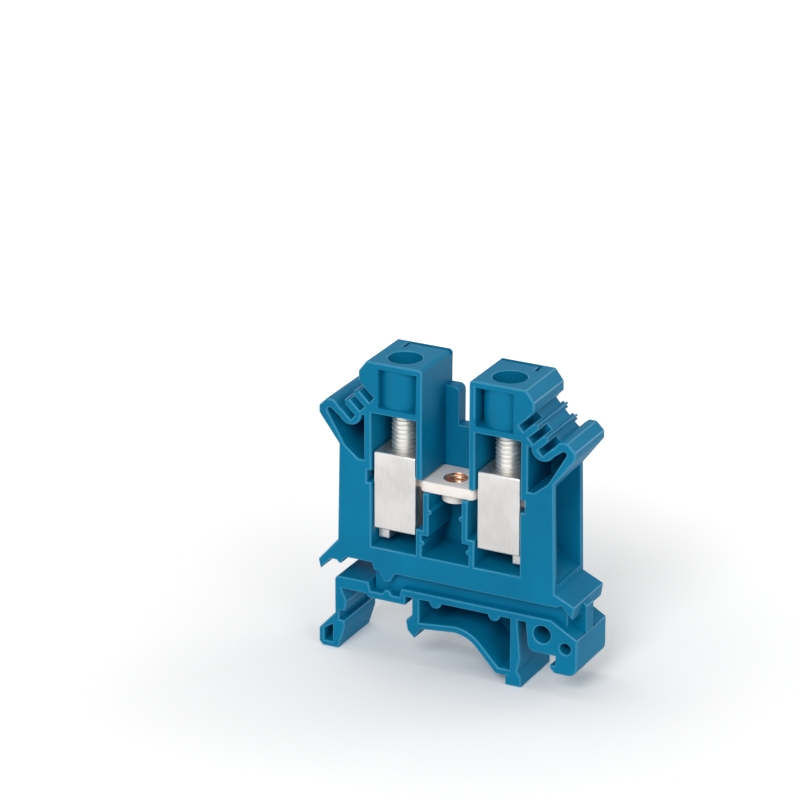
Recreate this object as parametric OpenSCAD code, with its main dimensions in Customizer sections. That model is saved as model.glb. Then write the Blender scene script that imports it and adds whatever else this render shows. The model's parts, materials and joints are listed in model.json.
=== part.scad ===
// Screw feed-through terminal block with an open side and a foot that clips on.
// X runs along the wires, Y across the block with the open side at -Y, Z up from the soles of the foot.

/* [Housing] */
// Thickness from the open side to the closed side
block_t = 10.2; // [9.8:0.1:12]
// Closed wall at the back
rear_t = 2.3; // [1.9:0.1:2.6]
// Offset of the upper body from the middle of the foot
body_x = -0.25; // [-0.5:0.05:0.5]
// Clear width of the valley between the two towers
valley_w = 7.6; // [7:0.1:9]
// Height of the back wall in the valley over the chamber floor
valley_wall_h = 18.4; // [15:0.1:20]
// Inner wall of each tower
tower_wall = 1.0; // [0.8:0.05:1.2]
// Radius of each tower's inner top edge
tower_r = 0.6; // [0.3:0.05:0.7]
// Width of each clamp chamber
chamber_w = 7.3; // [7.1:0.1:7.4]
// Height of each clamp chamber
chamber_h = 21.15; // [21:0.05:24]
// Width of the side wall between a chamber and the outside
jamb_w = 5.3; // [5:0.1:7]
// Outward slope of the side walls from the wing down to the base
side_draft = 0.4; // [0.2:0.05:0.6]
// Height of the solid base under the chambers
base_h = 3.8; // [3.4:0.1:5]
// Gap between the base and the foot
base_gap = 2.1; // [1.7:0.1:3]
// Reach of the skirts at the base past the side walls
skirt_reach = 3.6; // [3:0.1:4]
// Thickness of the skirts
skirt_t = 1.5; // [1.2:0.1:1.8]
// Inward slope of the skirts' tips
skirt_lean = 0.35; // [0.2:0.05:0.5]
// Height of the left skirt's root over the base
left_skirt_h = 3.7; // [3:0.1:4.5]
// Height of the right skirt's root over the base
right_skirt_h = 2.1; // [1.8:0.1:3]
// Height of the right skirt's tip over the base
right_tip_h = 0.6; // [0:0.1:1]
// Depth of the notch under the left end of the base
notch_h = 1.15; // [0.8:0.05:1.3]
// Width and height of the tooth beside that notch
tooth = 0.4; // [0.3:0.05:0.6]
// Width of that tooth's tip
tooth_tip = 0.3; // [0.2:0.05:0.4]
// Recess of the web between base and foot behind the open side
web_recess = 1.4; // [1:0.1:2]
// Thickness of that web
web_t = 2.4; // [2:0.1:3]
// Distance of the web's right end from the end of the foot
web_in = 2.2; // [1.8:0.1:2.6]
// Width of the stop under the base over the foot's dip
stop_w = 2.8; // [2:0.1:3.4]
// Height of that stop
stop_h = 1.5; // [1:0.05:1.6]

/* [Screw tubes] */
// Bore of each tube, where the screwdriver goes in
tube_bore = 5.15; // [4.9:0.05:5.3]
// Wall of each tube
tube_wall = 1.15; // [1.1:0.05:1.4]
// Shelf under each tube that the screw's head sits on
shelf_t = 1.05; // [0.8:0.05:1.5]
// Height of the window in front of each tube
window_h = 6.05; // [5:0.05:8]
// Skin above each window
top_t = 0.95; // [0.7:0.05:1.5]
// Solid between the window and the chamber's outer face
window_margin = 1.2; // [1:0.05:1.5]
// Width of the parting slit along the back of each top face
slit_w = 0.45; // [0.3:0.05:0.6]
// Depth of that slit
slit_d = 0.8; // [0.4:0.05:0.9]
// Strip between the slit and the closed side
slit_margin = 0.3; // [0.2:0.05:0.6]
// Length of the hook at the slit's end
slit_hook = 2.15; // [1:0.05:2.4]

/* [Valley post] */
// Width of the post on the back wall
post_w = 2.2; // [1.8:0.1:2.5]
// Height of the post over the back wall
post_h = 5.9; // [4:0.1:7]
// Radius of the post's top corner
post_r = 0.9; // [0.3:0.05:1.2]
// Width of the step on the other side
step_w = 0.9; // [0.6:0.1:1.5]
// Height of the step
step_h = 0.8; // [0.5:0.1:1.5]

/* [Marker shoulders] */
// Reach of the tower's outer face past its chamber
tower_reach = 2.05; // [1.9:0.05:2.3]
// Width of the chamfer on the tower's outer top edge
tower_chamfer_w = 1.3; // [0.8:0.05:1.6]
// Height of that chamfer
tower_chamfer_h = 1.7; // [1:0.05:2]
// Depth of the marker groove's lip below the top
marker_lip = 3.2; // [2.8:0.1:3.6]
// Undercut below that lip
marker_undercut = 0.8; // [0.5:0.05:1]
// Horizontal run of the sloping marker bed
bed_run = 3.9; // [3.6:0.05:4.1]
// Drop of the sloping marker bed
bed_drop = 4.1; // [3.8:0.05:4.4]
// Distance of the first and the last tag slot from the ends of the bed
tag_inset = 0.1; // [0.05:0.05:0.3]
// Width of a tag slot
tag_slot_w = 1.0; // [0.7:0.05:1.1]
// Depth of a tag slot
tag_slot_d = 2.3; // [1:0.05:2.4]
// Length of a tag slot from the open side
tag_slot_l = 2.9; // [2:0.1:3.4]
// Length of the same slot at the closed side
tag_slot_rear = 1.0; // [0.5:0.1:1.4]
// Width and height of the ridges between the rows
ridge = 0.4; // [0.3:0.05:0.5]
// Reach of the marker wing past the side wall
wing_reach = 3.3; // [3:0.1:3.5]
// Height of the wing's tip over its root on the side wall
wing_h = 5.0; // [4.8:0.05:5.2]
// Radius of the wing's tip
tip_r = 1.8; // [1.6:0.05:2]
// Length of the flats on top of the tip and at its side
tip_flat = 1.1; // [0.9:0.05:1.4]
// Wall round the wing's tip
tip_t = 1.4; // [1.2:0.05:1.5]
// Wall of the wing at its root
wing_t = 0.95; // [0.8:0.05:1.1]
// Strip between the chamber and the shoulder's hollow
strip_t = 1.2; // [1:0.05:1.4]
// Depth of that hollow below the wing's root
hollow_d = 1.8; // [1.4:0.05:2.2]
// Radius of the hollow's edge round the end of the marker bed
bed_end_r = 1.9; // [1.7:0.05:2]
// Distance of that edge's middle from the end of the bed
bed_end_in = 1.65; // [1.5:0.05:1.8]
// Drop of that edge's middle below the end of the bed
bed_end_drop = 0.5; // [0.4:0.05:0.7]

/* [Wire funnels] */
// Skin in front of each wire funnel
funnel_skin = 0.9; // [0.7:0.05:1.2]
// Wall behind each wire funnel
funnel_back = 1.0; // [0.8:0.05:1.4]
// Height of the funnel's sill over the chamber floor, at the chamber
sill_h = 2.4; // [1.8:0.1:3]
// Height of the funnel's throat at the chamber
throat_h = 6.7; // [6:0.1:7]
// Drop of the sill towards the outside
sill_drop = 2.9; // [2:0.1:3.4]
// Rise of the funnel's roof towards the outside
roof_rise = 6.3; // [6.1:0.1:6.5]

/* [Foot] */
// Width that the foot clips over, across both lips
rail_w = 35; // [34.5:0.1:36]
// Thickness of the lips that the foot clips over
lip_t = 1.0; // [0.8:0.05:1.3]
// Height of the lips' top over the soles
lip_z = 6.0; // [5.8:0.1:6.3]
// Clearance round a lip
lip_gap = 0.25; // [0.1:0.05:0.4]
// Overlap of each catch under a lip
catch = 0.6; // [0.4:0.05:0.8]
// Chamfer on the fixed hook's catch
catch_chamfer = 0.75; // [0.4:0.05:0.9]
// Width of the channel that the spring leg stands in
channel_w = 25; // [24.5:0.1:25.5]
// Clearance of the spring leg in the channel
channel_gap = 0.2; // [0.1:0.05:0.4]
// Height of the foot's top over the soles
foot_h = 11.9; // [11.6:0.1:13]
// Radius of the foot's left top edge
foot_r = 0.8; // [0.4:0.05:1]
// Thickness of the foot's plate
plate_t = 1.2; // [1:0.05:1.4]
// Thickness of the plate's left end
plate_end_t = 2.0; // [1.6:0.05:2.4]
// Thickness of the leg outside the left lip
leg_t = 0.75; // [0.6:0.05:1]
// Inward reach of the leg's shoulder over the left lip
leg_toe = 0.4; // [0.2:0.05:0.6]
// Height of that shoulder
leg_toe_h = 1.65; // [1.2:0.05:2]
// Reach of the release lever past the leg
lever_reach = 2.7; // [2.2:0.1:3]
// Height of the release lever
lever_h = 2.8; // [2.4:0.1:3.2]
// Chamfer under the lever's tip
lever_chamfer = 0.6; // [0.4:0.05:0.8]
// Wall round the driver pocket in the lever
lever_wall = 0.9; // [0.7:0.05:1]
// Distance of that pocket from the leg
lever_pocket_in = 0.45; // [0.3:0.05:0.6]
// Reach of the fixed hook past the right lip
hook_reach = 3.5; // [3.2:0.1:4]
// Thickness of the hook under the lip
hook_t = 1.25; // [1:0.05:1.5]
// Radius of the hook's lower corner
hook_r = 1.5; // [1:0.05:1.8]
// Width of the slope on the hook's top
hook_slope_w = 4.25; // [3.8:0.05:4.6]
// Height of that slope
hook_slope_h = 2.5; // [2:0.05:3]
// Width of the solid block beside the right lip
block_w = 4.85; // [4.5:0.05:5]
// Inward slope of that block's free side
block_taper = 0.35; // [0.2:0.05:0.6]
// Radius of that block's lower corner
block_r = 1.2; // [0.8:0.05:1.5]
// Diameter of the large core hole
core_hole = 2.7; // [2:0.1:3]
// Distance of the large core hole from the right lip
core_in = 2.15; // [2:0.05:2.4]
// Drop of the large core hole below the plate
core_drop = 1.4; // [1.2:0.05:1.6]
// Diameter of the small core hole
pin_hole = 1.7; // [1.2:0.1:2]
// Distance of the small core hole past the right lip
pin_out = 1.6; // [1.4:0.05:1.8]
// Drop of the small core hole below the plate
pin_drop = 2.95; // [2.6:0.05:3.2]

/* [Foot spring] */
// Distance of the sprung dip from the left lip
dip_in = 7.6; // [7.4:0.05:8]
// Width of the dip
dip_w = 5.45; // [5:0.05:5.8]
// Depth of the dip
dip_d = 1.4; // [1:0.05:1.6]
// Run of the dip's end slopes
dip_slope = 0.35; // [0.2:0.05:0.5]
// Thickness of the sheet under the dip
dip_t = 1.15; // [1:0.05:1.4]
// Thickness of the wall at the dip's right end
dip_wall = 0.7; // [0.6:0.05:0.8]
// Width of the bump in the dip
bump_w = 1.6; // [1.2:0.05:1.8]
// Height and top width of the bump
bump_h = 0.7; // [0.5:0.05:0.9]
// Offset of the bump from the middle of the dip
bump_x = 0.35; // [0:0.05:0.5]
// Distance of the hanging rib from the middle of the dip
rib_in = 4.5; // [4.3:0.05:4.8]
// Thickness of the hanging rib
rib_t = 1.25; // [1:0.05:1.5]
// Reach of the hook at the rib's end
rib_hook = 1.0; // [0.7:0.05:1.1]
// Drop of the rib's end below the lips' top
rib_tip = 1.75; // [1.4:0.05:2]
// Run of the arch from the rib to its crown
arch_run = 5.6; // [5.3:0.05:5.8]
// Drop of the arch's middle below the lips' top
arch_drop = 4.5; // [4.2:0.05:4.7]
// Outer radius of the arch
arch_r = 6.1; // [5.8:0.05:6.3]
// Thickness of the arch
arch_t = 1.05; // [0.8:0.05:1.2]
// Drop of the arch from its crown to the rib
arch_sag = 0.6; // [0.4:0.05:0.8]
// Height of the arch where it joins the spring leg
arch_end_z = 2.5; // [2.3:0.05:2.8]
// Thickness of the spring leg at the plate
spring_t = 1.25; // [1:0.05:1.4]
// Widening of the spring leg towards its knee
spring_flare = 0.5; // [0.3:0.05:0.6]
// Distance of the spring leg's knee over its sole
knee_h = 4.5; // [4:0.1:5]
// Distance of the leg's inner face from the channel's wall
spring_in = 1.9; // [1.8:0.05:2.1]
// Width of the spring leg's toe
toe_w = 2.6; // [2.3:0.05:2.8]
// Height of the toe
toe_h = 1.4; // [1.1:0.05:1.6]
// Radius of the beads under the plate
bead_r = 1.0; // [0.8:0.05:1.2]
// Depth of those beads
bead_h = 0.9; // [0.6:0.05:1]
// Distance of each bead from the rib or the spring leg
bead_in = 2.6; // [2.2:0.1:3]

/* [Current bar] */
// Thickness of the bar
bar_t = 1.7; // [1.4:0.1:1.9]
// Height of the bar's seat over the chamber floor
bar_seat_h = 10.15; // [9.9:0.05:10.4]
// Width of the tongues that pass through the sleeves
tongue_w = 4.2; // [3.5:0.1:4.4]
// Gap between the bar's wide middle and each sleeve
bar_gap = 0.5; // [0.4:0.05:0.8]
// Gap between the bar's front edge and the open side
bar_front_gap = 0.5; // [0.3:0.05:1]
// Radius of the wide middle's corners
bar_corner_r = 1.1; // [0.6:0.05:1.4]
// Clearance between the bar and the walls above and beside it
bar_clear = 0.2; // [0.1:0.05:0.3]
// Depth of the notches that hold the tongues' ends
notch_d = 0.5; // [0.4:0.05:0.7]
// Core diameter of the tapped hole for a bridge screw
bridge_hole = 3.3; // [2.5:0.05:3.4]
// Wall of the drawn collar round the tapped hole
collar_t = 0.5; // [0.4:0.05:0.6]
// Height of the collar under the bar
collar_h = 1.6; // [0.8:0.05:1.8]
// Thickness of the posts that carry the bar
bar_post_t = 1.0; // [0.8:0.05:1.1]
// Gap between a post and its chamber
bar_post_in = 1.15; // [1:0.05:1.3]
// Height of the heel beside each post
heel_h = 4.2; // [3.6:0.05:4.4]
// Width of the heel
heel_w = 1.0; // [0.8:0.05:1.1]
// Thickness of the rung between the heel and the post
rung_t = 0.9; // [0.7:0.05:1]
// Radius of the catch beads on the posts and the heels
snap_r = 0.45; // [0.3:0.05:0.5]
// Drop of a post's bead below the bar
snap_drop = 2.95; // [2.4:0.05:3.4]

/* [Clamp sleeves] */
// Clearance between a sleeve and the side walls of its chamber
sleeve_gap_x = 0.22; // [0.15:0.01:0.3]
// Distance of a sleeve from the open side and from the back wall
sleeve_gap_y = 0.45; // [0.35:0.05:0.5]
// Sheet thickness of the sleeve
sleeve_t = 1.2; // [1:0.05:1.25]
// Opening under the bar when the clamp is open
clamp_open = 6.1; // [5.8:0.05:6.3]
// Clearance over the bar when the clamp is open
bar_over = 0.85; // [0.5:0.05:0.9]
// Radius of the sleeve's folds
fold_r = 0.35; // [0.2:0.05:1]
// Length of the guard lug under the sleeve
lug_l = 1.85; // [1.2:0.05:2.2]
// Height of the guard lug
lug_h = 2.0; // [0.8:0.05:2.2]
// Distance of the lug from the sleeve's front and back
lug_inset = 1.45; // [1:0.05:1.8]

/* [Clamp screws] */
// Diameter of the screw's shank
screw_d = 4.0; // [3.6:0.05:4.1]
// Diameter of the screw's head, which the bore of the tube holds captive
head_d = 5.6; // [5.4:0.05:5.8]
// Height of the head
head_h = 2.6; // [2:0.1:2.8]
// Chamfer on the head and the tip
screw_chamfer = 0.4; // [0.2:0.05:0.6]
// Width of the driver slot
slot_w = 1.0; // [0.8:0.05:1.2]
// Depth of the driver slot
slot_d = 1.2; // [0.8:0.05:1.5]
// Running clearance round the shank in the sleeve
thread_gap = 0.08; // [0.05:0.01:0.1]
// Clearance round the shank in the shelf
shelf_gap = 0.2; // [0.1:0.05:0.3]
// Clearance round the head in the foot of the tube
head_gap = 0.15; // [0.1:0.01:0.2]
// Height of the tube's foot that holds the head
head_room = 3.0; // [2.9:0.1:4]
// Clearance under the head and under the tip
seat_gap = 0.05; // [0.02:0.01:0.1]

/* [Hidden] */
$fn = 64;
blue = "#1d7ba6";
plated = "#d9d7d4";
tinned = "#d8cfc8";
// Overlap that joins pieces of one solid, and overshoot of a cut
eps = 0.01;
over = 2;

// Depths along Y
front_y = -block_t / 2;
rear_y = block_t / 2;
back_y = rear_y - rear_t;
screw_y = (front_y + back_y) / 2;
web_y = front_y + web_recess;
sleeve_front_y = front_y + sleeve_gap_y;
sleeve_back_y = back_y - sleeve_gap_y;

// Distances from the middle of the upper body
valley_x = valley_w / 2;
chamber_in = valley_x + tower_wall;
chamber_out = chamber_in + chamber_w;
screw_x = (chamber_in + chamber_out) / 2;
window_x = chamber_out - window_margin;
tower_x = chamber_out + tower_reach;
side_x = chamber_out + jamb_w;
base_x = side_x + side_draft;
skirt_x = side_x + skirt_reach;
hollow_x = chamber_out + strip_t;
sleeve_half = chamber_w / 2 - sleeve_gap_x;
bar_half = screw_x - sleeve_half - bar_gap;
tongue_x = chamber_out + notch_d;
heel_x = chamber_in - heel_w;
bar_post_x = chamber_in - bar_post_in - bar_post_t;

// Heights over the soles
base_z = foot_h + base_gap;
floor_z = base_z + base_h;
ceiling_z = floor_z + chamber_h;
shelf_z = ceiling_z + shelf_t;
window_z = shelf_z + window_h;
top_z = window_z + top_t;
valley_z = floor_z + valley_wall_h;
bar_z = floor_z + bar_seat_h;
bar_top_z = bar_z + bar_t;
rung_z = floor_z + heel_h - rung_t;
sill_z = floor_z + sill_h;
roof_z = sill_z + throat_h;

// The doubled top of the sleeve lies over the bar, its floor below the open clamp
sleeve_z = bar_z - clamp_open - sleeve_t;
sleeve_h = clamp_open + bar_t + bar_over + 3 * sleeve_t;

// The marker bed runs from under the tower's lip down to the root of the wing
marker_z = top_z - marker_lip;
bed_x = tower_x - marker_undercut;
bed_z = marker_z - marker_undercut;
bed_end_x = bed_x + bed_run;
bed_end_z = bed_z - bed_drop;
bed_angle = atan2(bed_drop, bed_run);
bed_rows = 3;
bed_pitch = (norm([bed_run, bed_drop]) - 2 * tag_inset - tag_slot_w) / (bed_rows - 1);
wing_root_z = roof_z + roof_rise;
tip = [side_x + wing_reach - tip_r, wing_root_z + wing_h];
wing_lean = atan2(tip.x - side_x, wing_h) + asin(tip_r / norm([tip.x - side_x, wing_h]));
bed_end = [bed_end_x - bed_end_in, bed_end_z - bed_end_drop];

// The foot is set out from the two lips that it holds
lip_x = rail_w / 2 + lip_gap;
catch_x = rail_w / 2 - catch;
over_lip = lip_z + lip_gap;
under_lip = lip_z - lip_t - lip_gap;
leg_x = lip_x + leg_t;
lever_x = leg_x + lever_reach;
hook_x = lip_x + hook_reach;
hook_z = under_lip - hook_t;
plate_z = foot_h - plate_t;
dip_x = dip_in - lip_x;
dip_z = foot_h - dip_d;
rib_x = dip_x + rib_in;
arch_x = rib_x + rib_t + arch_run;
arch_z = lip_z - arch_drop;
arch_end = 43;
spring_x = channel_w / 2 - channel_gap;
leg_in = spring_x - spring_in;

// Extrudes a shape drawn in X and Z from y0 to y1
module slab(y0, y1) {
    translate([0, y1, 0])
        rotate([90, 0, 0])
            linear_extrude(height = y1 - y0)
                children();
}

// A rectangle from its low corner to its high corner
module rect(low, high) {
    translate(low) square(high - low);
}

// A rectangle with round corners
module round_rect(low, high, r) {
    rect(low + [r, 0], high - [r, 0]);
    rect(low + [0, r], high - [0, r]);
    for (x = [low.x + r, high.x - r], y = [low.y + r, high.y - r])
        translate([x, y]) circle(r = r);
}

// Draws the right half and its mirror image about the middle of the upper body
module both_sides() {
    translate([body_x, 0, 0]) {
        children();
        mirror([1, 0, 0]) children();
    }
}

// The two points where the wing's lower and upper sides leave a circle round the tip
function tip_points(r) = [
    tip + r * [cos(wing_lean), -sin(wing_lean)],
    tip + r * [-sin(wing_lean), cos(wing_lean)]
];

// Right half of the upper body with its tower, marker bed and wing
module upper_half() {
    polygon([
        [-eps, base_z],
        [base_x, base_z],
        [side_x, wing_root_z],
        tip_points(tip_r)[0],
        tip + [tip_r, -tip_flat / 2],
        tip + [tip_r, tip_flat / 2],
        tip + [tip_flat / 2, tip_r],
        tip + [-tip_flat / 2, tip_r],
        tip_points(tip_r)[1],
        [bed_end_x, bed_end_z],
        [bed_x, bed_z],
        [tower_x, marker_z],
        [tower_x, top_z - tower_chamfer_h],
        [tower_x - tower_chamfer_w, top_z],
        [-eps, top_z]
    ]);
}

// Skirt that overhangs the foot, from its root on the side wall to its tip
module skirt(root_h, tip_h) {
    polygon([
        [side_x - skirt_t, base_z],
        [side_x - skirt_t, base_z + root_h],
        [base_x, base_z + root_h],
        [skirt_x, base_z + tip_h],
        [skirt_x - skirt_lean, base_z - skirt_t],
        [side_x + skirt_t, base_z + tooth],
        [side_x + tooth_tip / 2 + tooth, base_z]
    ]);
}

// Undercut at the left end of the base, with a small tooth towards the skirt
module base_notch() {
    polygon([
        [side_x - tooth_tip / 2, base_z - eps],
        [side_x - tooth_tip / 2 - tooth, base_z + notch_h / 2],
        [side_x - notch_h, base_z + notch_h],
        [chamber_out, base_z + notch_h],
        [chamber_out - tooth, base_z - eps]
    ]);
    polygon([
        [side_x + tooth_tip / 2, base_z - eps],
        [side_x + tooth_tip / 2 + tooth, base_z + tooth],
        [side_x + skirt_t, base_z + tooth],
        [side_x + skirt_t, base_z - eps]
    ]);
}

// Places a shape on the marker bed, u down its slope
module on_bed(u) {
    translate([bed_x, bed_z])
        rotate(-bed_angle)
            translate([u, 0])
                children();
}

module ridges() {
    for (i = [1 : bed_rows - 1])
        on_bed(tag_inset + i * bed_pitch - (bed_pitch - tag_slot_w + ridge) / 2)
            rect([0, -ridge], [ridge, ridge]);
}

module tag_slots() {
    for (i = [0 : bed_rows - 1])
        on_bed(tag_inset + i * bed_pitch)
            rect([0, -tag_slot_d], [tag_slot_w, ridge]);
}

// Hollow under the marker bed, rounded in the wing's tip and round the end of the bed
module shoulder_hollow() {
    inner_r = tip_r - tip_t;
    difference() {
        union() {
            polygon([
                [hollow_x, wing_root_z - hollow_d],
                [hollow_x + wing_t, wing_root_z - hollow_d],
                [side_x - wing_t, wing_root_z],
                tip_points(inner_r)[0],
                tip_points(inner_r)[1],
                bed_end + bed_end_r * [cos(30), -sin(30)],
                [hollow_x, bed_end.y]
            ]);
            translate(tip) circle(r = inner_r);
        }
        translate(bed_end) circle(r = bed_end_r);
    }
}

// Funnel that leads a wire through the side wall into the chamber
module funnel() {
    polygon([
        [chamber_out - eps, sill_z],
        [side_x, sill_z - sill_drop],
        [side_x + over, sill_z - sill_drop],
        [side_x + over, wing_root_z],
        [side_x, wing_root_z],
        [chamber_out - eps, roof_z]
    ]);
}

// Pocket in front of a tube, which leaves the tube standing
module window() {
    difference() {
        translate([chamber_in, front_y - eps, shelf_z])
            cube([window_x - chamber_in, screw_y - front_y + eps, window_h]);
        translate([screw_x, screw_y, shelf_z - eps])
            cylinder(d = tube_bore + 2 * tube_wall, h = window_h + 2 * eps);
    }
}

// Slit along the back of the top face with a hook towards the front
module top_slit() {
    slit_y = rear_y - slit_margin;
    translate([valley_x - eps, slit_y - slit_w, top_z - slit_d])
        cube([window_x - valley_x + eps, slit_w, slit_d + eps]);
    translate([window_x - slit_w, slit_y - slit_hook, top_z - slit_d])
        cube([slit_w, slit_hook, slit_d + eps]);
}

// Everything cut out of the right half of the upper body
module half_cuts() {
    slab(front_y - eps, back_y) {
        rect([chamber_in, floor_z], [chamber_out, ceiling_z]);
        shoulder_hollow();
    }
    slab(front_y - eps, screw_y + tongue_w / 2 + bar_clear)
        rect([chamber_out - eps, bar_z], [tongue_x + bar_clear, bar_top_z + bar_clear]);
    slab(front_y - eps, front_y + tag_slot_l) tag_slots();
    slab(rear_y - tag_slot_rear, rear_y + eps) tag_slots();
    slab(front_y + funnel_skin, rear_y - funnel_back) funnel();
    window();
    top_slit();
    translate([screw_x, screw_y, shelf_z])
        cylinder(d = head_d + 2 * head_gap, h = head_room);
    translate([screw_x, screw_y, shelf_z + head_room - eps])
        cylinder(d = tube_bore, h = top_z - shelf_z - head_room + 2 * eps);
    translate([screw_x, screw_y, ceiling_z - eps])
        cylinder(d = screw_d + 2 * shelf_gap, h = shelf_t + 2 * eps);
}

// What is cut away to round a tower's inner top edge
module tower_edge() {
    difference() {
        rect([valley_x - eps, top_z - tower_r], [valley_x + tower_r, top_z + over]);
        translate([valley_x + tower_r, top_z - tower_r]) circle(r = tower_r);
    }
}

// Valley between the towers: open to both sides above the back wall, to the front below it
module valley() {
    slab(front_y - eps, rear_y + eps) both_sides() tower_edge();
    translate([body_x, 0, 0]) {
        slab(front_y - eps, rear_y + eps)
            rect([-valley_x, valley_z], [valley_x, top_z + over]);
        slab(front_y - eps, back_y) {
            rect([-valley_x, floor_z], [valley_x, valley_z + eps]);
            rect([-chamber_in - eps, floor_z], [chamber_in + eps, bar_top_z + bar_clear]);
        }
    }
}

// Post that carries the bar on a rung, the heel that holds the rung, and their catch beads
module bar_post() {
    rect([bar_post_x, rung_z], [bar_post_x + bar_post_t, bar_z]);
    rect([bar_post_x, rung_z], [chamber_in, rung_z + rung_t]);
    rect([heel_x, floor_z - eps], [chamber_in, rung_z + rung_t]);
    translate([bar_post_x, bar_z - snap_drop]) circle(r = snap_r);
    translate([heel_x, floor_z + heel_h / 2]) circle(r = snap_r);
}

// Post and step that stand on the back wall in the valley
module valley_posts() {
    rect([-valley_x - eps, valley_z - eps], [-valley_x + post_w, valley_z + post_h - post_r]);
    rect([-valley_x - eps, valley_z], [-valley_x + post_w - post_r, valley_z + post_h]);
    translate([-valley_x + post_w - post_r, valley_z + post_h - post_r]) circle(r = post_r);
    rect([valley_x - step_w, valley_z - eps], [valley_x + eps, valley_z + step_h]);
}

module upper_body() {
    difference() {
        slab(front_y, rear_y) {
            both_sides() {
                upper_half();
                ridges();
            }
            translate([body_x, 0]) {
                skirt(right_skirt_h, right_tip_h);
                mirror([1, 0]) skirt(left_skirt_h, 0);
            }
        }
        both_sides() half_cuts();
        valley();
        slab(front_y - eps, rear_y + eps)
            translate([body_x, 0])
                mirror([1, 0]) base_notch();
    }
    slab(front_y, back_y + eps) both_sides() bar_post();
    translate([body_x, 0, 0]) slab(back_y, rear_y) valley_posts();
}

// Line of the arch at one radius, from the rib over the crown and down to the spring leg
function arch_line(r, left_z, right_z) =
    let (start = [arch_x + r * cos(arch_end), arch_z + r * sin(arch_end)],
         tail = (start.y - right_z) / cos(arch_end))
    concat(
        [[rib_x + rib_t - eps, left_z]],
        [for (i = [0 : 10]) let (a = 90 - i * (90 - arch_end) / 10) [arch_x + r * cos(a), arch_z + r * sin(a)]],
        [[start.x + tail * sin(arch_end), right_z], [leg_in + eps, right_z]]
    );

// The same line, a depth below the arch's outer face
function arch_inset(d) = arch_line(arch_r - d, arch_z + arch_r - arch_sag - d, arch_end_z - d);

function reversed(points) = [for (i = [len(points) - 1 : -1 : 0]) points[i]];

module arch() {
    polygon(concat(arch_inset(0), reversed(arch_inset(arch_t))));
}

// Wall behind the hollow between the arch and the plate
module arch_back() {
    polygon(concat(
        arch_inset(arch_t / 2),
        [[leg_in + eps, plate_z + eps], [rib_x + rib_t - eps, plate_z + eps]]
    ));
}

// Plate of the foot with the sprung dip near its left end
module foot_plate() {
    dip_left = dip_x - dip_w / 2;
    dip_right = dip_x + dip_w / 2;
    polygon([
        [foot_r - leg_x, foot_h],
        [dip_left, foot_h],
        [dip_left + dip_slope, dip_z],
        [dip_x + bump_x - bump_w / 2, dip_z],
        [dip_x + bump_x - bump_h / 2, dip_z + bump_h],
        [dip_x + bump_x + bump_h / 2, dip_z + bump_h],
        [dip_x + bump_x + bump_w / 2, dip_z],
        [dip_right - dip_slope, dip_z],
        [dip_right, foot_h],
        [hook_x - hook_slope_w, foot_h],
        [hook_x - hook_slope_w, plate_z],
        [dip_right + dip_wall, plate_z],
        [dip_right + dip_wall, dip_z - dip_t],
        [dip_left, dip_z - dip_t],
        [dip_left - dip_slope, foot_h - plate_end_t],
        [foot_r - leg_x, foot_h - plate_end_t]
    ]);
}

// Left leg: holds one lip and ends in the release lever
module release_leg() {
    polygon([
        [foot_r - leg_x, foot_h],
        [-leg_x, foot_h - foot_r],
        [-leg_x, lip_z - lip_gap],
        [-lever_x, lever_h],
        [-lever_x, lever_chamfer],
        [lever_chamfer - lever_x, 0],
        [-lip_x - lip_gap, 0],
        [-catch_x, hook_z],
        [-catch_x, under_lip],
        [-lip_x, under_lip],
        [-lip_x, over_lip],
        [-catch_x, over_lip],
        [leg_toe - catch_x, over_lip + leg_toe_h],
        [leg_toe - lip_x, foot_h - plate_end_t],
        [leg_toe - lip_x, foot_h]
    ]);
    translate([foot_r - leg_x, foot_h - foot_r]) circle(r = foot_r);
}

// Pocket for a screwdriver's tip in the release lever
module lever_pocket() {
    polygon([
        [lever_wall - lever_x, lever_wall],
        [lever_wall - lever_x, lever_h],
        [-leg_x - lever_pocket_in, lever_h + lever_wall],
        [-leg_x - lever_pocket_in, lever_wall]
    ]);
}

// Right end of the foot: the fixed hook and the thick block over it
module hook_block() {
    block_x = lip_x - block_w + block_taper;
    polygon([
        [lip_x - block_w, plate_z + eps],
        [hook_x - hook_slope_w, foot_h],
        [hook_x, foot_h - hook_slope_h],
        [hook_x, hook_z + hook_r],
        [hook_x - hook_r, hook_z],
        [catch_x + catch_chamfer, hook_z],
        [catch_x, hook_z + catch_chamfer],
        [catch_x, under_lip],
        [lip_x, under_lip],
        [lip_x, over_lip],
        [block_x + block_r, over_lip],
        [block_x, over_lip + block_r]
    ]);
    translate([hook_x - hook_r, hook_z + hook_r]) circle(r = hook_r);
    translate([block_x + block_r, over_lip + block_r]) circle(r = block_r);
}

// Rib that hangs from the plate and ends in a hook
module hanging_rib() {
    polygon([
        [rib_x, plate_z + eps],
        [rib_x, lip_z + 2 * rib_hook],
        [rib_x - rib_hook, lip_z + rib_hook],
        [rib_x - rib_hook * 3 / 4, lip_z - rib_tip / 3],
        [rib_x + rib_t / 3, lip_z - rib_tip],
        [rib_x + rib_t, lip_z],
        [rib_x + rib_t, plate_z + eps]
    ]);
}

// Spring leg that stands in the channel between the lips
module spring_leg() {
    polygon([
        [leg_in, plate_z + eps],
        [leg_in, arch_end_z - arch_t / 2],
        [spring_x - toe_w, toe_h],
        [spring_x - toe_w, 0],
        [spring_x, 0],
        [spring_x, toe_h],
        [leg_in + spring_t, arch_end_z],
        [leg_in + spring_t + spring_flare, knee_h],
        [leg_in + spring_t, plate_z + eps]
    ]);
}

// Round bead under the plate
module plate_bead(x) {
    translate([x, plate_z + bead_r - bead_h]) circle(r = bead_r);
}

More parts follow.
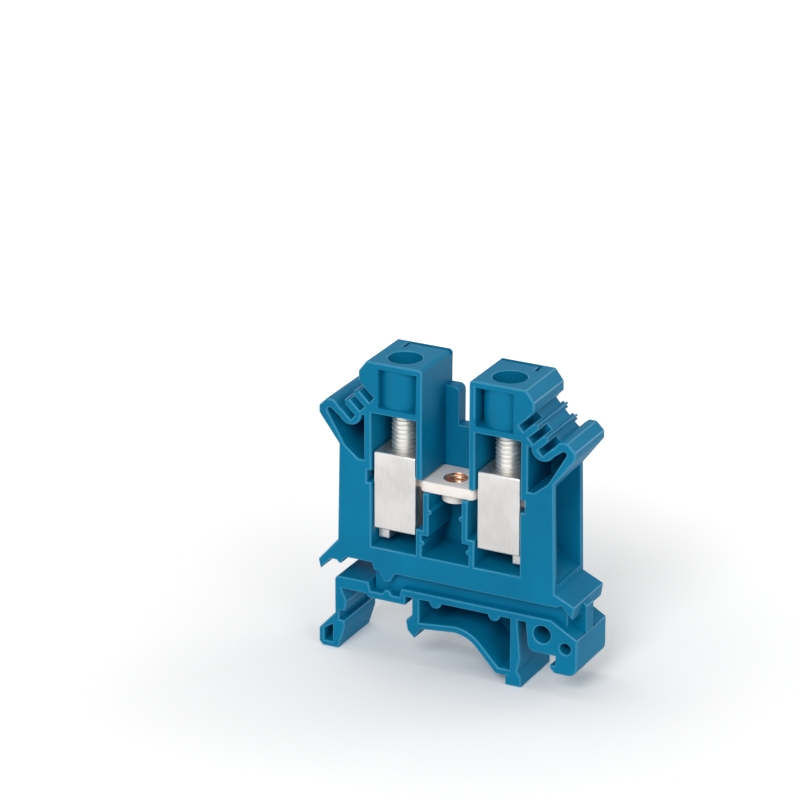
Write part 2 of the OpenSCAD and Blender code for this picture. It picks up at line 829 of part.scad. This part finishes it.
// Web that joins the foot to the base
module base_web() {
    polygon([
        [body_x - chamber_out, dip_z - dip_t / 2],
        [dip_x + dip_w / 2, dip_z - dip_t / 2],
        [dip_x + dip_w / 2 + dip_wall, plate_z + eps],
        [hook_x - hook_slope_w, plate_z + eps],
        [hook_x - web_in, foot_h - hook_slope_h],
        [hook_x - web_in, base_z + tooth],
        [side_x - skirt_t, base_z + skirt_t],
        [body_x - chamber_out, base_z + notch_h + eps]
    ]);
}

// Stop that hangs from the base over the bump in the foot's dip
module dip_stop() {
    translate([dip_x + bump_x, base_z])
        polygon([
            [-stop_w / 2, eps],
            [-stop_w / 6, -stop_h],
            [stop_w / 6, -stop_h],
            [stop_w / 2, eps]
        ]);
}

module foot() {
    difference() {
        union() {
            slab(front_y, rear_y) {
                foot_plate();
                release_leg();
                hook_block();
                hanging_rib();
                arch();
                spring_leg();
                difference() {
                    union() {
                        plate_bead(rib_x + rib_t + bead_in);
                        plate_bead(leg_in - bead_in);
                    }
                    rect([rib_x, plate_z + plate_t / 2], [leg_in, foot_h + bead_r]);
                }
            }
            slab(back_y, rear_y) arch_back();
            slab(web_y, web_y + web_t) base_web();
            slab(front_y, web_y + eps) dip_stop();
        }
        slab(front_y - eps, back_y) {
            lever_pocket();
            translate([lip_x - core_in, plate_z - core_drop]) circle(d = core_hole);
            translate([lip_x + pin_out, plate_z - pin_drop]) circle(d = pin_hole);
        }
    }
}

module housing() {
    color(blue) {
        upper_body();
        foot();
    }
}

module current_bar() {
    color(tinned)
        translate([body_x, 0, bar_z])
            difference() {
                union() {
                    linear_extrude(height = bar_t) {
                        round_rect([-bar_half, front_y + bar_front_gap], [bar_half, back_y], bar_corner_r);
                        rect([-tongue_x, screw_y - tongue_w / 2], [tongue_x, screw_y + tongue_w / 2]);
                    }
                    translate([0, screw_y, -collar_h])
                        cylinder(d = bridge_hole + 2 * collar_t, h = collar_h + eps);
                }
                translate([0, screw_y, -collar_h - eps])
                    cylinder(d = bridge_hole, h = collar_h + bar_t + 2 * eps);
            }
}

// Folded sleeve of the right clamp: open along the wire, with a doubled top that takes the screw
module clamp_sleeve() {
    difference() {
        translate([screw_x - sleeve_half, 0, sleeve_z])
            rotate([90, 0, 90])
                linear_extrude(height = 2 * sleeve_half)
                    difference() {
                        round_rect([sleeve_front_y, 0], [sleeve_back_y, sleeve_h], fold_r);
                        rect([sleeve_front_y + sleeve_t, sleeve_t],
                             [sleeve_back_y - sleeve_t, sleeve_h - 2 * sleeve_t]);
                    }
        translate([screw_x, screw_y, sleeve_z + sleeve_h - 2 * sleeve_t - eps])
            cylinder(d = screw_d + 2 * thread_gap, h = 2 * sleeve_t + 2 * eps);
    }
    translate([screw_x + sleeve_half - lug_l, sleeve_front_y + lug_inset, sleeve_z - lug_h])
        cube([lug_l, sleeve_back_y - sleeve_front_y - 2 * lug_inset, lug_h + eps]);
}

module clamp_sleeve_right() {
    color(plated) translate([body_x, 0, 0]) clamp_sleeve();
}

module clamp_sleeve_left() {
    color(plated) translate([body_x, 0, 0]) mirror([1, 0, 0]) clamp_sleeve();
}

// Slotted screw: its head sits on the shelf and its tip on the bar
module clamp_screw(x) {
    tip_z = bar_top_z + seat_gap;
    under_head = shelf_z + seat_gap;
    head_z = under_head + head_h;
    translate([x, screw_y, 0])
        difference() {
            rotate_extrude()
                polygon([
                    [0, tip_z],
                    [screw_d / 2 - screw_chamfer, tip_z],
                    [screw_d / 2, tip_z + screw_chamfer],
                    [screw_d / 2, under_head],
                    [head_d / 2, under_head],
                    [head_d / 2, head_z - screw_chamfer],
                    [head_d / 2 - screw_chamfer, head_z],
                    [0, head_z]
                ]);
            translate([-head_d, -slot_w / 2, head_z - slot_d])
                cube([2 * head_d, slot_w, slot_d + eps]);
        }
}

module clamp_screw_right() {
    color(plated) clamp_screw(body_x + screw_x);
}

module clamp_screw_left() {
    color(plated) clamp_screw(body_x - screw_x);
}

housing();
current_bar();
clamp_sleeve_left();
clamp_sleeve_right();
clamp_screw_left();
clamp_screw_right();
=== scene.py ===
import json
import math

import bmesh
import bpy
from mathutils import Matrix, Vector
from mathutils.bvhtree import BVHTree


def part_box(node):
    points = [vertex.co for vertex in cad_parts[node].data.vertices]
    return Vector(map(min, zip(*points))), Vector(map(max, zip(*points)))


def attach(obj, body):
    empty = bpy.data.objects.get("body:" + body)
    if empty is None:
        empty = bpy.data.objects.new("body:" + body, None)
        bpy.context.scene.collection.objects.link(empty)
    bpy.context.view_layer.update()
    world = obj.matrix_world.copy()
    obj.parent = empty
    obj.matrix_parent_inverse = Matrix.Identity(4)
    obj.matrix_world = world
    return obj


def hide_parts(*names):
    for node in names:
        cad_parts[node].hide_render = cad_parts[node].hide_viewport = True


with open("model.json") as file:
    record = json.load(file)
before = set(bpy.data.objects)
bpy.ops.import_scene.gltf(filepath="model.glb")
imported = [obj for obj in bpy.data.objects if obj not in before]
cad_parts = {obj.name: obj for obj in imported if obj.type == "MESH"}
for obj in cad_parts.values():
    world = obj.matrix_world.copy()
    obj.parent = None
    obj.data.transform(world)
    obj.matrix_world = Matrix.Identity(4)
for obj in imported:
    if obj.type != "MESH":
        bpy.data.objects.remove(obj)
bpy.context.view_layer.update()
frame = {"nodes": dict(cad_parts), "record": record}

MM = 0.001
HOUSING_LOW, HOUSING_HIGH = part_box("housing")
FRONT_Y = HOUSING_LOW.y
SIDES = ("left", "right")

# Tolerances of the mesh work: bisect's own default would take a tenth of a millimetre as lying on the cut
SAME_POINT = 0.0005 * MM
SAME_PLANE = math.radians(0.4)
ON_CUT = 0.0001 * MM
BESIDE_EDGE = 0.02 * MM
CLOSE = 0.01 * MM
# Room beside an edge where no wall is met, which is more than the whole object
NO_WALL = 1.0

# Edges: which are rounded, in how many steps, how much room that takes, and which stay hard in the shading
SHARP = math.radians(35)
ROUND_STEPS = 3
ROOM_PER_WIDTH = 2.4
HARD = math.radians(38)

# Metric coarse thread of the screws and of the bar's hole
PITCH = 0.7 * MM
THREAD_R = 2.0 * MM
CORE_R = 1.6 * MM
TAPPED_R = 1.7 * MM
ROOT_FLAT, FLANK_OUT, CREST_FLAT, FLANK_IN = 1 / 8, 5 / 16, 1 / 8, 7 / 16
STEPS_A_TURN = 40
HELIX_SEAM = 0.002 * MM
# The helix starts a little more than a turn under its cut, so that none of its points lies on the cut
TURNS_UNDER = 1.03
SPARE_TURNS = 2


# Modelling


def only(obj):
    """Leaves obj as the one selected and active object."""
    bpy.ops.object.select_all(action="DESELECT")
    obj.select_set(True)
    bpy.context.view_layer.objects.active = obj
    return obj


def solid_copy(cad_node, name):
    """A copy of a CAD node's mesh as one closed skin, with its flat faces whole again."""
    obj = bpy.data.objects.new(name, frame["nodes"][cad_node].data.copy())
    bpy.context.scene.collection.objects.link(obj)
    only(obj)
    obj.data.materials.clear()
    bpy.ops.mesh.customdata_custom_splitnormals_clear()
    bpy.ops.object.mode_set(mode="EDIT")
    bpy.ops.mesh.select_all(action="SELECT")
    bpy.ops.mesh.remove_doubles(threshold=SAME_POINT)
    bpy.ops.mesh.dissolve_limited(angle_limit=SAME_PLANE)
    bpy.ops.object.mode_set(mode="OBJECT")
    return obj


def room_beside(tree, edge):
    """Distance from a sharp edge to the nearest wall across its faces, in the solid or in the open."""
    middle = (edge.verts[0].co + edge.verts[1].co) / 2
    line = edge.verts[1].co - edge.verts[0].co
    room = NO_WALL
    for face, other in (edge.link_faces, reversed(edge.link_faces)):
        across = face.normal.cross(line).normalized()
        if across.dot(other.normal) > 0:
            across.negate()
        for outward in (-1, 1):
            start = middle + (face.normal * outward + across) * BESIDE_EDGE
            distance = tree.ray_cast(start, across)[3]
            room = min(room, distance or room)
    return room


def round_edges(obj, width, share, painted_highlight_material=-1):
    """Rounds the sharp outer edges of obj, each by its share of width, where there is room for it."""
    only(obj)
    mesh = bmesh.new()
    mesh.from_mesh(obj.data)
    tree = BVHTree.FromBMesh(mesh)
    weight = mesh.edges.layers.float.new("bevel_weight_edge")
    for edge in mesh.edges:
        if edge.is_manifold and edge.is_convex and edge.calc_face_angle() > SHARP:
            wanted = share(edge.verts[0].co, edge.verts[1].co)
            if room_beside(tree, edge) > ROOM_PER_WIDTH * width * wanted:
                edge[weight] = wanted
    mesh.to_mesh(obj.data)
    mesh.free()
    bevel = obj.modifiers.new("rounding", "BEVEL")
    bevel.limit_method = "WEIGHT"
    bevel.width = width
    bevel.segments = ROUND_STEPS
    bevel.use_clamp_overlap = False
    bevel.loop_slide = False
    # The rounded faces can take a paler material: a painted highlight along the rims
    bevel.material = painted_highlight_material
    bpy.ops.object.modifier_apply(modifier=bevel.name)


def every_edge(a, b):
    """The share of an edge from a to b on a piece that is rounded all over."""
    return 1.0


def smooth(obj):
    """Smooth shading with hard edges kept and flat faces kept flat."""
    only(obj)
    bpy.ops.object.shade_smooth_by_angle(angle=HARD)
    flat = obj.modifiers.new("flat faces", "WEIGHTED_NORMAL")
    flat.keep_sharp = True
    bpy.ops.object.modifier_apply(modifier=flat.name)


def bisect(z, keep_above):
    """Cuts what is selected in edit mode square at a height, drops one side and closes the cut."""
    bpy.ops.mesh.bisect(
        plane_co=(0, 0, z), plane_no=(0, 0, 1), use_fill=True,
        clear_inner=keep_above, clear_outer=not keep_above, threshold=ON_CUT,
    )


def trim(obj, z):
    """Cuts off what lies under a height."""
    only(obj)
    bpy.ops.object.mode_set(mode="EDIT")
    bpy.ops.mesh.select_all(action="SELECT")
    bisect(z, keep_above=True)
    bpy.ops.object.mode_set(mode="OBJECT")


def threaded_rod(crest_r, root_r, low, high, centre):
    """A rod with a real helical thread round a vertical axis, cut square at both ends."""
    bpy.ops.object.select_all(action="DESELECT")
    bpy.ops.mesh.primitive_plane_add(size=MM, location=(0, 0, 0))
    rod = bpy.context.object
    bpy.ops.object.mode_set(mode="EDIT")
    bpy.ops.mesh.select_mode(type="VERT")
    bpy.ops.mesh.select_all(action="SELECT")
    bpy.ops.mesh.merge(type="CENTER")
    bpy.ops.transform.translate(value=(root_r, 0, low - TURNS_UNDER * PITCH))
    flank = crest_r - root_r
    for out, up in ((0, ROOT_FLAT), (flank, FLANK_OUT), (0, CREST_FLAT), (-flank, FLANK_IN)):
        bpy.ops.mesh.extrude_vertices_move(TRANSFORM_OT_translate={"value": (out, 0, up * PITCH)})
    bpy.ops.object.mode_set(mode="OBJECT")
    helix = rod.modifiers.new("helix", "SCREW")
    helix.axis = "Z"
    helix.screw_offset = PITCH
    helix.iterations = math.ceil((high - low) / PITCH) + SPARE_TURNS
    helix.steps = helix.render_steps = STEPS_A_TURN
    helix.use_merge_vertices = True
    helix.merge_threshold = HELIX_SEAM
    bpy.ops.object.modifier_apply(modifier=helix.name)
    bpy.ops.object.mode_set(mode="EDIT")
    bpy.ops.mesh.select_all(action="SELECT")
    bpy.ops.mesh.remove_doubles(threshold=HELIX_SEAM)
    for z, keep_above in ((low, True), (high, False)):
        bpy.ops.mesh.select_all(action="SELECT")
        bisect(z, keep_above)
    bpy.ops.mesh.select_all(action="SELECT")
    bpy.ops.mesh.normals_make_consistent(inside=False)
    bpy.ops.transform.translate(value=(centre.x, centre.y, 0))
    bpy.ops.object.mode_set(mode="OBJECT")
    return rod


def box_between(low, high):
    """A box from its low corner to its high corner."""
    bpy.ops.object.select_all(action="DESELECT")
    bpy.ops.mesh.primitive_cube_add(size=1, location=(0, 0, 0))
    obj = bpy.context.object
    bpy.ops.object.mode_set(mode="EDIT")
    bpy.ops.mesh.select_all(action="SELECT")
    bpy.ops.transform.resize(value=[b - a for a, b in zip(low, high)])
    bpy.ops.transform.translate(value=[(a + b) / 2 for a, b in zip(low, high)])
    bpy.ops.object.mode_set(mode="OBJECT")
    return obj


def merge(obj, tool, operation):
    """Cuts tool out of obj or makes one skin of both, and removes tool."""
    only(obj)
    merging = obj.modifiers.new("merging", "BOOLEAN")
    merging.operation = operation
    merging.solver = "EXACT"
    merging.object = tool
    bpy.ops.object.modifier_apply(modifier=merging.name)
    bpy.data.objects.remove(tool)


def stands_for(obj, body, cad_node):
    """Rides obj on a body in the place of a CAD node, which it hides."""
    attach(obj, body)
    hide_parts(cad_node)


# Materials


def linear(colour):
    """An sRGB hex colour as linear red, green, blue and alpha."""
    parts = [int(colour[i:i + 2], 16) / 255 for i in (1, 3, 5)]
    return [p / 12.92 if p <= 0.04045 else ((p + 0.055) / 1.055) ** 2.4 for p in parts] + [1]


def node(tree, kind, sockets=(), **settings):
    """Adds a node with its settings, and sets or links its input sockets."""
    made = tree.nodes.new("ShaderNode" + kind)
    for key, value in settings.items():
        setattr(made, key, value)
    for key, value in dict(sockets).items():
        if isinstance(value, bpy.types.NodeSocket):
            tree.links.new(value, made.inputs[key])
        else:
            made.inputs[key].default_value = value
    return made


def per_mm(size_mm):
    """Scale of a pattern whose grains are size_mm wide, in Object coordinates of metres."""
    return 1 / (size_mm * MM)


def new_material(name):
    """An empty node material and its tree."""
    material = bpy.data.materials.new(name)
    material.use_nodes = True
    material.node_tree.nodes.clear()
    return material, material.node_tree


# Height of the moulded grain and of the metal's marks
RELIEF = 0.02 * MM

# Polyamide: the flow of the melt, and the mould's eroded grain, which is really about 0.05 mm wide and is
# drawn coarser so that it shows
FLOW_MM, FLOW_DETAIL = 9, 3
FLOW_STOPS = (0.3, 0.7)
GRAIN_MM, GRAIN_DETAIL = 0.35, 4
GRAIN_BUMP, GRAIN_SHEEN = 0.1, 0.05
POLYAMIDE_IOR = 1.53


def moulded_polyamide(name, dark, light, roughness, gloss):
    """Injection moulded polyamide: a satin skin with a faint grain and slow changes of tone."""
    material, tree = new_material(name)
    place = node(tree, "TexCoord").outputs["Object"]
    flow = node(tree, "TexNoise", {"Vector": place, "Scale": per_mm(FLOW_MM), "Detail": FLOW_DETAIL})
    tone = node(tree, "ValToRGB", {"Fac": flow.outputs["Fac"]})
    for stop, position, colour in zip(tone.color_ramp.elements, FLOW_STOPS, (dark, light)):
        stop.position = position
        stop.color = linear(colour)
    grain = node(tree, "TexNoise", {"Vector": place, "Scale": per_mm(GRAIN_MM), "Detail": GRAIN_DETAIL})
    sheen = node(tree, "MapRange", {
        "Value": grain.outputs["Fac"],
        "To Min": roughness - GRAIN_SHEEN, "To Max": roughness + GRAIN_SHEEN,
    })
    bump = node(tree, "Bump", {"Height": grain.outputs["Fac"], "Strength": GRAIN_BUMP, "Distance": RELIEF})
    skin = node(tree, "BsdfPrincipled", {
        "Base Color": tone.outputs["Color"], "Roughness": sheen.outputs["Result"],
        "Normal": bump.outputs["Normal"], "IOR": POLYAMIDE_IOR, "Specular IOR Level": gloss,
    })
    node(tree, "OutputMaterial", {"Surface": skin.outputs["BSDF"]})
    return material


# Plated metal: clouds in the plating, and marks of rolling or turning, which are really a few hundredths
# of a millimetre wide and are drawn coarser so that they show
CLOUD_MM, CLOUD_DETAIL = 6, 2
MARKS_DETAIL = 3
MARKS_SHARE, MARKS_BUMP = 0.5, 0.2
PLATING_STOPS = (0.6, 0.9)


def plated_metal(name, bright, dull, metallic, roughness, spread, marks_mm, marks_across):
    """Plated sheet or screw: a cloudy bright metal, its marks made finer by marks_across on each axis."""
    material, tree = new_material(name)
    place = node(tree, "TexCoord").outputs["Object"]
    along = node(tree, "Mapping", {"Vector": place, "Scale": marks_across})
    marks = node(tree, "TexNoise", {
        "Vector": along.outputs["Vector"], "Scale": per_mm(marks_mm), "Detail": MARKS_DETAIL,
    })
    cloud = node(tree, "TexNoise", {"Vector": place, "Scale": per_mm(CLOUD_MM), "Detail": CLOUD_DETAIL})
    blend = node(tree, "Math", {
        0: marks.outputs["Fac"], 1: MARKS_SHARE, 2: cloud.outputs["Fac"],
    }, operation="MULTIPLY_ADD")
    tone = node(tree, "ValToRGB", {"Fac": blend.outputs[0]})
    for stop, position, colour in zip(tone.color_ramp.elements, PLATING_STOPS, (dull, bright)):
        stop.position = position
        stop.color = linear(colour)
    rough = node(tree, "MapRange", {
        "Value": marks.outputs["Fac"], "To Min": roughness - spread, "To Max": roughness + spread,
    })
    bump = node(tree, "Bump", {"Height": marks.outputs["Fac"], "Strength": MARKS_BUMP, "Distance": RELIEF})
    metal = node(tree, "BsdfPrincipled", {
        "Base Color": tone.outputs["Color"], "Roughness": rough.outputs["Result"],
        "Normal": bump.outputs["Normal"], "Metallic": metallic,
    })
    node(tree, "OutputMaterial", {"Surface": metal.outputs["BSDF"]})
    return material


# The floor's lift towards white: small under the block, where its shadow lies, and full at this distance
LIFT_NEAR, LIFT_FAR = 0.03, 1.0
LIFT_DISTANCE = 0.25


def white_card():
    """Pale matte floor that the camera and polished metal see as white, with the block's shadow kept."""
    material, tree = new_material("white_card")
    place = node(tree, "TexCoord").outputs["Object"]
    away = node(tree, "VectorMath", {0: place}, operation="LENGTH")
    lift_here = node(tree, "MapRange", {
        "Value": away.outputs["Value"], "From Max": LIFT_DISTANCE, "To Min": LIFT_NEAR, "To Max": LIFT_FAR,
    })
    path = node(tree, "LightPath")
    seen = node(tree, "Math", {
        0: path.outputs["Is Camera Ray"], 1: path.outputs["Is Glossy Ray"],
    }, operation="MAXIMUM")
    lift = node(tree, "Math", {0: seen.outputs[0], 1: lift_here.outputs["Result"]}, operation="MULTIPLY")
    card = node(tree, "BsdfDiffuse", {"Color": linear("#f7f7f7")})
    glow = node(tree, "Emission", {"Color": linear("#ffffff"), "Strength": lift.outputs[0]})
    both = node(tree, "AddShader", {0: card.outputs[0], 1: glow.outputs[0]})
    node(tree, "OutputMaterial", {"Surface": both.outputs[0]})
    return material


# Polyamide, dyed through and injection moulded: an even satin blue that hardly mirrors the lamps
POLYAMIDE = moulded_polyamide("moulded_polyamide", "#007097", "#007aa3", roughness=0.5, gloss=0.1)

# The same polyamide on its rounded rims: smoother, and coloured paler as a painted highlight, which draws
# a light line along every opening
POLYAMIDE_PAINTED_RIM_HIGHLIGHT = moulded_polyamide("polyamide_rim_painted_highlight", "#097ea6", "#0f85ad", roughness=0.34, gloss=0.4)

# Cold rolled steel strip, folded and bright zinc plated: a pale grey with upright rolling marks
SLEEVE_PLATE = plated_metal(
    "zinc_plated_sheet", "#dad8d6", "#cccac8",
    metallic=0.9, roughness=0.35, spread=0.09, marks_mm=2.4, marks_across=(8, 1, 1),
)

# Turned steel, bright zinc plated: a warmer white than the sleeves, with turning marks round the screw
SCREW_PLATE = plated_metal(
    "zinc_plated_screw", "#f4f2ec", "#dedcd6",
    metallic=0.8, roughness=0.4, spread=0.08, marks_mm=1.5, marks_across=(1, 1, 10),
)

# Stamped copper under a coat of matte tin: a silky warm white with faint rolling marks along the bar
TIN_PLATE = plated_metal(
    "tin_plated_copper", "#f8f0ea", "#e9e0d9",
    metallic=0.05, roughness=0.5, spread=0.08, marks_mm=1.5, marks_across=(1, 6, 1),
)

# Copper where the tap has cut through the tin: a shiny pink gold, with glints and dark streaks
BARE_COPPER = plated_metal(
    "tapped_copper", "#f9d8c2", "#ebbc9b",
    metallic=0.95, roughness=0.22, spread=0.08, marks_mm=0.9, marks_across=(1, 1, 6),
)


# Housing: one moulding, with the edges of its open side rounded most

RIM = 0.25 * MM
INNER_SHARE = 0.6

# End wall of the web between base and foot: its inner end, its place behind the open side, its thickness,
# its heights, which end inside the foot's hook and the base's skirt, and the chamfer on its top
WALL_X = 18.9 * MM
WALL_RECESS = 3.3 * MM
WALL_T = 2.4 * MM
WALL_FOOT, WALL_TOP = 9.0 * MM, 14.4 * MM
WALL_CHAMFER = 0.75 * MM


def on_open_side(a, b):
    """The share of an edge from a to b: full on the open side and less elsewhere."""
    return 1.0 if max(a.y, b.y) < FRONT_Y + CLOSE else INNER_SHARE


def web_end():
    """The web's end wall, which closes the gap between the foot's hook and the base's right skirt."""
    wall_y = FRONT_Y + WALL_RECESS
    low = (WALL_X, wall_y, WALL_FOOT)
    high = (HOUSING_HIGH.x, wall_y + WALL_T, WALL_TOP)
    wall = only(box_between(low, high))
    bpy.ops.object.mode_set(mode="EDIT")
    bpy.ops.mesh.select_mode(type="EDGE")
    bpy.ops.mesh.select_all(action="DESELECT")
    bpy.ops.object.mode_set(mode="OBJECT")
    for edge in wall.data.edges:
        ends = [wall.data.vertices[i].co for i in edge.vertices]
        edge.select = all(end.x > WALL_X + CLOSE and end.z > WALL_FOOT + CLOSE for end in ends)
    bpy.ops.object.mode_set(mode="EDIT")
    bpy.ops.mesh.bevel(offset=WALL_CHAMFER, segments=1, affect="EDGES")
    bpy.ops.object.mode_set(mode="OBJECT")
    return wall


def make_housing():
    """The moulding with its web's end wall, its rims in a paler colour that is a painted highlight."""
    housing = solid_copy("housing", "housing_moulding")
    merge(housing, web_end(), "UNION")
    housing.data.materials.append(POLYAMIDE)
    housing.data.materials.append(POLYAMIDE_PAINTED_RIM_HIGHLIGHT)
    # The rims take the second material, whose paler colour is a painted highlight
    round_edges(housing, RIM, on_open_side, painted_highlight_material=1)
    smooth(housing)
    stands_for(housing, "block", "housing")


make_housing()


# Clamp screws: a slotted head, a plain neck and a cut thread that runs a little way up into the neck

HEAD_H = 2.6 * MM
NECK = 1.8 * MM
HEAD_RIM = 0.1 * MM
THREAD_RUN_IN = 0.12 * MM


def make_screw(side):
    """A clamp screw whose plain shank gives way to a cut thread."""
    low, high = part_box("clamp_screw_" + side)
    axis = (low + high) / 2
    thread_top = high.z - HEAD_H - NECK

    def above_thread(a, b):
        return float(min(a.z, b.z) > thread_top + CLOSE)

    screw = solid_copy("clamp_screw_" + side, "screw_" + side)
    trim(screw, thread_top)
    round_edges(screw, HEAD_RIM, above_thread)
    merge(screw, threaded_rod(THREAD_R, CORE_R, low.z, thread_top + THREAD_RUN_IN, axis), "UNION")
    smooth(screw)
    screw.data.materials.append(SCREW_PLATE)
    stands_for(screw, "screw_" + side, "clamp_screw_" + side)


for side in SIDES:
    make_screw(side)


# Clamp sleeves: one folded strip, whose doubled top shows its seam at both ends

SHEET = 1.2 * MM
SHEET_RIM = 0.2 * MM
SEAM_W, SEAM_D = 0.1 * MM, 0.3 * MM
SEAM_MARGIN, SEAM_DROP = SHEET / 3, SHEET / 2


def make_sleeve(side):
    """A clamp sleeve with the seam of its folded strip cut into both ends."""
    low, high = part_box("clamp_sleeve_" + side)
    sleeve = solid_copy("clamp_sleeve_" + side, "sleeve_" + side)
    round_edges(sleeve, SHEET_RIM, every_edge)
    fold_y, seam_z = low.y + SHEET, high.z - SHEET
    seam_end, seam_foot, seam_top = high.y - SEAM_MARGIN, seam_z - SEAM_DROP, seam_z + SEAM_W
    for x in (low.x, high.x):
        inner, outer = x - SEAM_D, x + SEAM_D
        level = box_between((inner, fold_y, seam_z), (outer, seam_end, seam_top))
        merge(sleeve, level, "DIFFERENCE")
        upright = box_between((inner, fold_y - SEAM_W, seam_foot), (outer, fold_y, seam_top))
        merge(sleeve, upright, "DIFFERENCE")
    smooth(sleeve)
    sleeve.data.materials.append(SLEEVE_PLATE)
    stands_for(sleeve, "sleeve_" + side, "clamp_sleeve_" + side)


for side in SIDES:
    make_sleeve(side)


# Current bar: stamped edges, and a thread cut through the bar and its collar

BAR_RIM = 0.2 * MM
HOLE_EDGE_R = 1.9 * MM
TAP_PAST_BAR = 1.0 * MM
# Faces within this margin of the thread are bare, unless they lie level, as the bar's own faces do
BARE_MARGIN = 0.02 * MM
LEVEL = 0.95


def make_bar():
    """The current bar, tinned all over but for its tapped hole."""
    low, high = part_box("current_bar")
    thread = next(m for m in frame["record"]["mounts"] if m["name"] == "bridge_thread")
    axis = Vector(thread["pos_m"])

    def from_axis(point):
        return (point - axis).xy.length

    def outside_hole(a, b):
        return float(min(from_axis(a), from_axis(b)) > HOLE_EDGE_R)

    bar = solid_copy("current_bar", "bar_stamping")
    round_edges(bar, BAR_RIM, outside_hole)
    tap = threaded_rod(THREAD_R, TAPPED_R, low.z - TAP_PAST_BAR, high.z + TAP_PAST_BAR, axis)
    merge(bar, tap, "DIFFERENCE")
    smooth(bar)
    bar.data.materials.append(TIN_PLATE)
    bar.data.materials.append(BARE_COPPER)
    for face in bar.data.polygons:
        in_hole = from_axis(face.center) < THREAD_R + BARE_MARGIN
        if in_hole and abs(face.normal.z) < LEVEL:
            face.material_index = 1
    stands_for(bar, "block", "current_bar")


make_bar()


# Floor

FLOOR_SIZE = 6

bpy.ops.object.select_all(action="DESELECT")
bpy.ops.mesh.primitive_plane_add(size=FLOOR_SIZE, location=(0, 0, 0))
floor = bpy.context.object
floor.name = "floor"
floor.data.materials.append(white_card())


# Light: four softboxes, placed in metres, and a white room that lights the block less than it is seen

BLOCK_MIDDLE = Vector((0, 0, 0.024))
ROOM_LIGHT, ROOM_WHITE = 0.35, 1.0


def softbox(name, place, size, power):
    """A square lamp that faces the block."""
    lamp = bpy.data.objects.new(name, bpy.data.lights.new(name, "AREA"))
    bpy.context.scene.collection.objects.link(lamp)
    lamp.location = place
    lamp.rotation_mode = "QUATERNION"
    lamp.rotation_quaternion = (BLOCK_MIDDLE - lamp.location).to_track_quat("-Z", "Y")
    lamp.data.size = size
    lamp.data.energy = power


softbox("key", (0.1, -1.0, 0.8), size=0.5, power=6.8)
softbox("overhead", (-0.28, 0.05, 1.1), size=0.5, power=1.9)
softbox("back", (0.75, 0.9, 0.5), size=0.6, power=2.3)
softbox("fill", (0.9, -0.6, 0.4), size=0.6, power=2.5)


def white_room():
    """The world: the camera, polished metal and glass see it white."""
    world = bpy.data.worlds.new("studio")
    world.use_nodes = True
    tree = world.node_tree
    tree.nodes.clear()
    path = node(tree, "LightPath")
    camera_or_glossy = node(tree, "Math", {
        0: path.outputs["Is Camera Ray"], 1: path.outputs["Is Glossy Ray"],
    }, operation="MAXIMUM")
    seen = node(tree, "Math", {
        0: camera_or_glossy.outputs[0], 1: path.outputs["Is Transmission Ray"],
    }, operation="MAXIMUM")
    level = node(tree, "MapRange", {"Value": seen.outputs[0], "To Min": ROOM_LIGHT, "To Max": ROOM_WHITE})
    sky = node(tree, "Background", {"Color": linear("#ffffff"), "Strength": level.outputs["Result"]})
    node(tree, "OutputWorld", {"Surface": sky.outputs["Background"]})
    return world


bpy.context.scene.world = white_room()


# Camera: where the photograph was taken from, for a picture of 800 by 800 pixels

AIM = Vector((-10.16, 0, 39.65)) * MM
AZIMUTH, ELEVATION = math.radians(27.02), math.radians(21.76)
DISTANCE = 607.4 * MM
FOCAL_PIXELS, PICTURE_PIXELS = 4144.8, 800
SENSOR = 36
NEAREST = 10 * MM

back = Vector((
    math.sin(AZIMUTH) * math.cos(ELEVATION),
    -math.cos(AZIMUTH) * math.cos(ELEVATION),
    math.sin(ELEVATION),
))
camera = bpy.data.objects.new("camera", bpy.data.cameras.new("camera"))
bpy.context.scene.collection.objects.link(camera)
camera.location = AIM + back * DISTANCE
camera.rotation_mode = "QUATERNION"
camera.rotation_quaternion = (-back).to_track_quat("-Z", "Y")
camera.data.sensor_width = SENSOR
camera.data.lens = SENSOR * FOCAL_PIXELS / PICTURE_PIXELS
camera.data.clip_start = NEAREST
bpy.context.scene.camera = camera
bpy.context.scene.view_settings.view_transform = "Standard"
